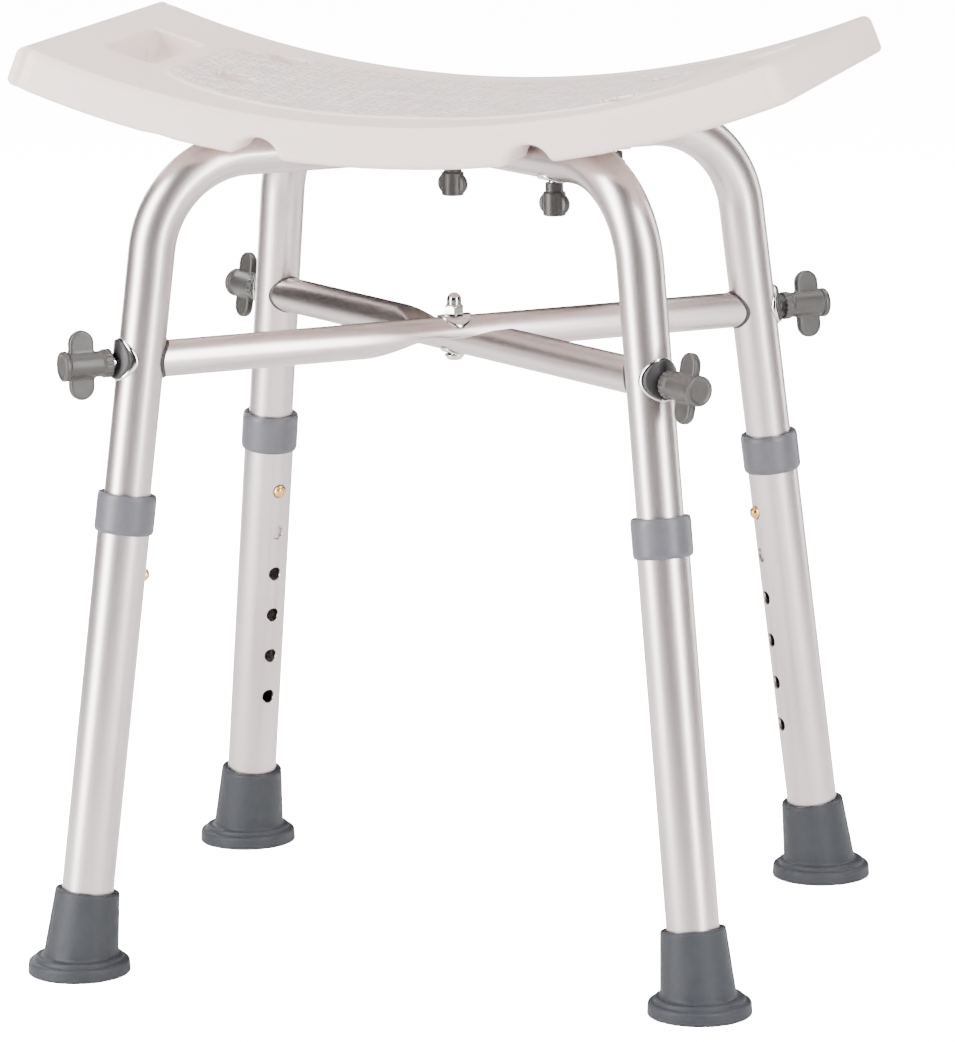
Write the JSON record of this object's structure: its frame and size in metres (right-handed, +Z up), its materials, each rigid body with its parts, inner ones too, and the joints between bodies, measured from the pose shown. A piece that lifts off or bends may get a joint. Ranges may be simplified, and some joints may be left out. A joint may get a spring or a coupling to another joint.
{
  "type": "shower stool",
  "caption": "Backless shower stool: hollow-curved plastic seat on two crossed aluminium tube frames, with braces, wing knobs and height-adjustable legs on wide rubber feet.",
  "frame": {"origin": "on the floor, under the middle of the seat", "axes": "+X along the seat, +Y to its back edge, +Z up"},
  "size_m": [0.4346, 0.3556, 0.5061],
  "materials": {
    "seat": "fine moulded stipple with a raised anti-slip field",
    "tube": "satin anodised, drawn tube",
    "collar": "moulded grey plastic, lightly satin",
    "knob": "moulded dark grey plastic",
    "foot": "moulded grey rubber",
    "black_rubber": "moulded black rubber",
    "steel": "bright zinc and nickel plated steel",
    "brass": "turned, lightly polished"
  },
  "bodies": {
    "frame": {"seat": "seat", "seat_inserts": "brass", "u_frame_1": "tube", "u_frame_2": "tube", "brace_bar_upper": "tube", "brace_bar_lower": "tube", "brace_end_plugs": "black_rubber", "centre_bolt": "steel", "centre_nut": "steel", "centre_washers": "steel", "knob_saddle_washers": "steel", "knob_rubber_washers": "black_rubber", "seat_screw_washers": "steel", "snap_spring_fl": "steel", "snap_spring_bl": "steel", "snap_spring_fr": "steel", "snap_spring_br": "steel"},
    "leg_fl": {"leg_extension_fl": "tube", "collar_fl": "collar", "rubber_foot_fl": "foot", "foot_disc_fl": "steel"},
    "leg_bl": {"leg_extension_bl": "tube", "collar_bl": "collar", "rubber_foot_bl": "foot", "foot_disc_bl": "steel"},
    "leg_fr": {"leg_extension_fr": "tube", "collar_fr": "collar", "rubber_foot_fr": "foot", "foot_disc_fr": "steel"},
    "leg_br": {"leg_extension_br": "tube", "collar_br": "collar", "rubber_foot_br": "foot", "foot_disc_br": "steel"},
    "button_fl": {"snap_button_fl": "brass"},
    "button_bl": {"snap_button_bl": "brass"},
    "button_fr": {"snap_button_fr": "brass"},
    "button_br": {"snap_button_br": "brass"},
    "brace_knob_fl": {"brace_knob_fl": "knob", "brace_stud_fl": "steel"},
    "brace_knob_bl": {"brace_knob_bl": "knob", "brace_stud_bl": "steel"},
    "brace_knob_fr": {"brace_knob_fr": "knob", "brace_stud_fr": "steel"},
    "brace_knob_br": {"brace_knob_br": "knob", "brace_stud_br": "steel"},
    "seat_knob_centre": {"seat_knob_centre": "knob", "seat_stud_centre": "steel"},
    "seat_knob_front": {"seat_knob_front": "knob", "seat_stud_front": "steel"},
    "seat_knob_back": {"seat_knob_back": "knob", "seat_stud_back": "steel"}
  },
  "joints": [
    {"name": "leg_fl_height", "type": "slide", "parent": "frame", "child": "leg_fl", "axis": [0.0981, 0.0838, 0.9916], "range_m": [0, 0.0508], "deforming": ["snap_button_fl", "snap_spring_fl"]},
    {"name": "leg_bl_height", "type": "slide", "parent": "frame", "child": "leg_bl", "axis": [0.0981, -0.0838, 0.9916], "range_m": [0, 0.0508], "deforming": ["snap_button_bl", "snap_spring_bl"]},
    {"name": "leg_fr_height", "type": "slide", "parent": "frame", "child": "leg_fr", "axis": [-0.0981, 0.0838, 0.9916], "range_m": [0, 0.0508], "deforming": ["snap_button_fr", "snap_spring_fr"]},
    {"name": "leg_br_height", "type": "slide", "parent": "frame", "child": "leg_br", "axis": [-0.0981, -0.0838, 0.9916], "range_m": [0, 0.0508], "deforming": ["snap_button_br", "snap_spring_br"]},
    {"name": "button_fl_press", "type": "slide", "parent": "frame", "child": "button_fl", "axis": [-0.7541, -0.644, 0.129], "range_m": [0, 0.0045], "stiffness_N_per_m": 800, "springref_m": -0.004, "deforming": ["snap_spring_fl"]},
    {"name": "button_bl_press", "type": "slide", "parent": "frame", "child": "button_bl", "axis": [-0.7541, 0.644, 0.129], "range_m": [0, 0.0045], "stiffness_N_per_m": 800, "springref_m": -0.004, "deforming": ["snap_spring_bl"]},
    {"name": "button_fr_press", "type": "slide", "parent": "frame", "child": "button_fr", "axis": [0.7541, -0.644, 0.129], "range_m": [0, 0.0045], "stiffness_N_per_m": 800, "springref_m": -0.004, "deforming": ["snap_spring_fr"]},
    {"name": "button_br_press", "type": "slide", "parent": "frame", "child": "button_br", "axis": [0.7541, 0.644, 0.129], "range_m": [0, 0.0045], "stiffness_N_per_m": 800, "springref_m": -0.004, "deforming": ["snap_spring_br"]},
    {"name": "brace_knob_fl_turn", "type": "hinge", "parent": "frame", "child": "brace_knob_fl", "pos_m": [0, 0, 0.3365], "axis": [-0.7604, -0.6494, 0], "continuous": true},
    {"name": "brace_knob_bl_turn", "type": "hinge", "parent": "frame", "child": "brace_knob_bl", "pos_m": [0, 0, 0.3365], "axis": [-0.7604, 0.6494, 0], "continuous": true},
    {"name": "brace_knob_fr_turn", "type": "hinge", "parent": "frame", "child": "brace_knob_fr", "pos_m": [0, 0, 0.3365], "axis": [0.7604, -0.6494, 0], "continuous": true},
    {"name": "brace_knob_br_turn", "type": "hinge", "parent": "frame", "child": "brace_knob_br", "pos_m": [0, 0, 0.3365], "axis": [0.7604, 0.6494, 0], "continuous": true},
    {"name": "seat_knob_centre_turn", "type": "hinge", "parent": "frame", "child": "seat_knob_centre", "pos_m": [0, 0, 0.4], "axis": [0, 0, 1], "continuous": true},
    {"name": "seat_knob_front_turn", "type": "hinge", "parent": "frame", "child": "seat_knob_front", "pos_m": [0.07528, -0.0643, 0.4], "axis": [0, 0, 1], "continuous": true},
    {"name": "seat_knob_back_turn", "type": "hinge", "parent": "frame", "child": "seat_knob_back", "pos_m": [0.07528, 0.0643, 0.4], "axis": [0, 0, 1], "continuous": true}
  ]
}
